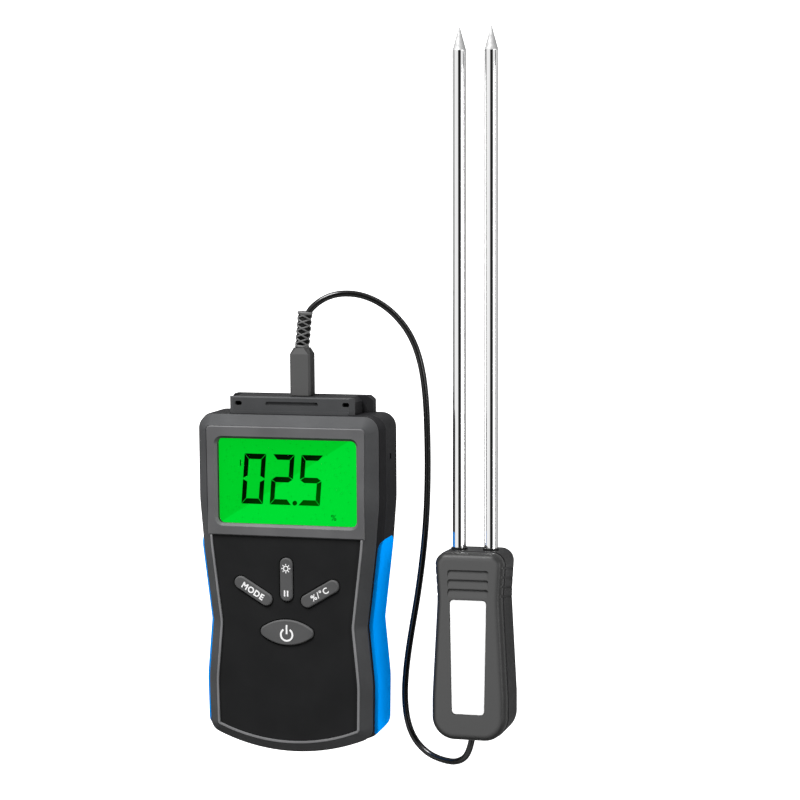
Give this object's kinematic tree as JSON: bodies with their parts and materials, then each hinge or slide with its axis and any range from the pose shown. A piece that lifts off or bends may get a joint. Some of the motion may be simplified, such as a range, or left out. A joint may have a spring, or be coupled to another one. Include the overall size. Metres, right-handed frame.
{
  "type": "grain moisture meter",
  "caption": "Handheld moisture meter lying on its back, with a lit display, push keys and a corded handle that carries two long pointed electrodes for probing grain or hay.",
  "frame": {"origin": "centre of the flat back of the meter, where it lies on its support", "axes": "+Z out of the meter's face, +Y towards the end that takes the plug, +X to the right of a reader"},
  "size_m": [0.1516, 0.3482, 0.034],
  "materials": {
    "housing_grey": "matte",
    "housing_dark": "matte",
    "bezel_grey": "satin",
    "panel_black": "satin",
    "window_clear": "polished",
    "display_green": "lit",
    "backlight": "satin",
    "contact_rubber": "matte",
    "board": "satin",
    "board_parts": "matte",
    "screw_steel": "brushed",
    "contact_metal": "polished",
    "wire_insulation": "satin",
    "grip_blue": "matte",
    "battery_jacket": "gloss",
    "black_plastic": "matte",
    "key_rubber": "matte",
    "plug_black": "matte",
    "cord_black": "satin",
    "handle_dark": "satin",
    "label_white": "matte",
    "electrode_steel": "polished",
    "grommet_rubber": "matte"
  },
  "bodies": {
    "meter": {"front_shell": "housing_grey", "back_shell": "housing_dark", "display_bezel": "bezel_grey", "keypad_lip": "bezel_grey", "window_lens": "window_clear", "display_panel": "display_green", "display_backlight": "backlight", "contact_strips": "contact_rubber", "keypad_panel": "panel_black", "main_board": "board", "tact_switches": "board_parts", "controller_chip": "board_parts", "board_components": "board_parts", "board_screws": "screw_steel", "case_screws": "screw_steel", "port_plate": "housing_grey", "jack_socket": "black_plastic", "socket_tags": "contact_metal", "socket_wires": "wire_insulation", "grip_left": "grip_blue", "grip_right": "grip_blue", "battery": "battery_jacket", "battery_snap": "black_plastic", "battery_leads": "wire_insulation"},
    "battery_cover": {"battery_cover": "housing_dark"},
    "mode_key": {"mode_key": "key_rubber"},
    "range_key": {"range_key": "key_rubber"},
    "light_key": {"light_key": "key_rubber"},
    "power_key": {"power_key": "key_rubber"},
    "probe": {"plug_sleeve": "contact_metal", "plug_insulator": "black_plastic", "plug_tip": "contact_metal", "plug_body": "plug_black", "strain_relief": "plug_black", "lead_cord": "cord_black", "handle_tub": "handle_dark", "handle_cover": "handle_dark", "handle_label": "label_white", "electrode_left": "electrode_steel", "electrode_right": "electrode_steel", "electrode_block": "black_plastic", "ring_lugs": "contact_metal", "lug_screws": "screw_steel", "handle_wires": "wire_insulation", "lead_tail": "cord_black", "cord_grommet": "grommet_rubber", "cable_clamp": "black_plastic", "handle_screws": "screw_steel"}
  },
  "joints": [
    {"name": "mode_press", "type": "slide", "parent": "meter", "child": "mode_key", "axis": [0, 0, -1], "range_m": [0, 0.0008], "stiffness_N_per_m": 450, "springref_m": -0.001},
    {"name": "range_press", "type": "slide", "parent": "meter", "child": "range_key", "axis": [0, 0, -1], "range_m": [0, 0.0008], "stiffness_N_per_m": 450, "springref_m": -0.001},
    {"name": "light_press", "type": "slide", "parent": "meter", "child": "light_key", "axis": [0, 0, -1], "range_m": [0, 0.0008], "stiffness_N_per_m": 450, "springref_m": -0.001},
    {"name": "power_press", "type": "slide", "parent": "meter", "child": "power_key", "axis": [0, 0, -1], "range_m": [0, 0.0008], "stiffness_N_per_m": 450, "springref_m": -0.001},
    {"name": "battery_cover_slide", "type": "slide", "parent": "meter", "child": "battery_cover", "axis": [0, -1, 0], "range_m": [0, 0.072]},
    {"name": "plug_pull", "type": "slide", "parent": "meter", "child": "probe", "axis": [0, 1, 0], "range_m": [0, 0.035]}
  ]
}
